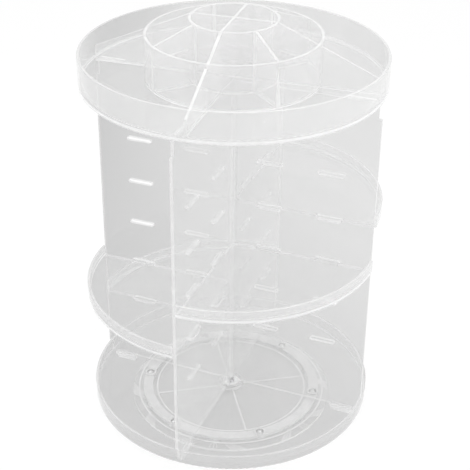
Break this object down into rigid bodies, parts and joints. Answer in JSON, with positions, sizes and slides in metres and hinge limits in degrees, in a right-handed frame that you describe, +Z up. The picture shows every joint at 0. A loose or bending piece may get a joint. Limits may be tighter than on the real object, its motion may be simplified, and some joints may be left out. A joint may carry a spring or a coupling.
{
  "type": "rotating cosmetics organizer",
  "caption": "Round clear cosmetics stand that turns on a ball-bearing base, with crossing panels, quarter shelves set in slots, a top tray and a lift-out divider.",
  "frame": {"origin": "on the turning axis, at table level", "axes": "+Z up along the turning axis, X along the main panel, -Y is the front"},
  "size_m": [0.233, 0.233, 0.3349],
  "materials": {
    "clear_plastic": "clear, polished",
    "milky_plastic": "milky, moulded",
    "ball_steel": "polished",
    "washer_steel": "zinc plated",
    "screw_steel": "zinc plated",
    "clear_rubber": "soft, translucent"
  },
  "bodies": {
    "base": {"base_plate": "clear_plastic", "pivot_washer": "washer_steel", "pivot_screw": "screw_steel", "foot_pad_1": "clear_rubber", "foot_pad_2": "clear_rubber", "foot_pad_3": "clear_rubber", "foot_pad_4": "clear_rubber", "foot_pad_5": "clear_rubber", "foot_pad_6": "clear_rubber"},
    "ball_ring": {"ball_retainer": "milky_plastic", "bearing_ball_1": "ball_steel", "bearing_ball_2": "ball_steel", "bearing_ball_3": "ball_steel", "bearing_ball_4": "ball_steel", "bearing_ball_5": "ball_steel", "bearing_ball_6": "ball_steel"},
    "turntable": {"turntable_tray": "clear_plastic", "main_panel": "clear_plastic", "front_half_panel": "clear_plastic", "back_half_panel": "clear_plastic", "shelf_back_left": "clear_plastic", "shelf_front_left": "clear_plastic", "shelf_front_right": "clear_plastic", "shelf_back_right": "clear_plastic", "top_tray": "clear_plastic"},
    "divider": {"divider_insert": "clear_plastic"}
  },
  "joints": [
    {"name": "turntable_spin", "type": "hinge", "parent": "base", "child": "turntable", "pos_m": [0, 0, 0.009], "axis": [0, 0, 1], "continuous": true},
    {"name": "ball_ring_spin", "type": "hinge", "parent": "base", "child": "ball_ring", "pos_m": [0, 0, 0.006], "axis": [0, 0, 1], "continuous": true},
    {"name": "divider_lift", "type": "slide", "parent": "turntable", "child": "divider", "axis": [0, 0, 1], "range_m": [0, 0.06]}
  ],
  "couplings": [
    {"joint": "ball_ring_spin", "follows": "turntable_spin", "ratio": 0.5}
  ]
}
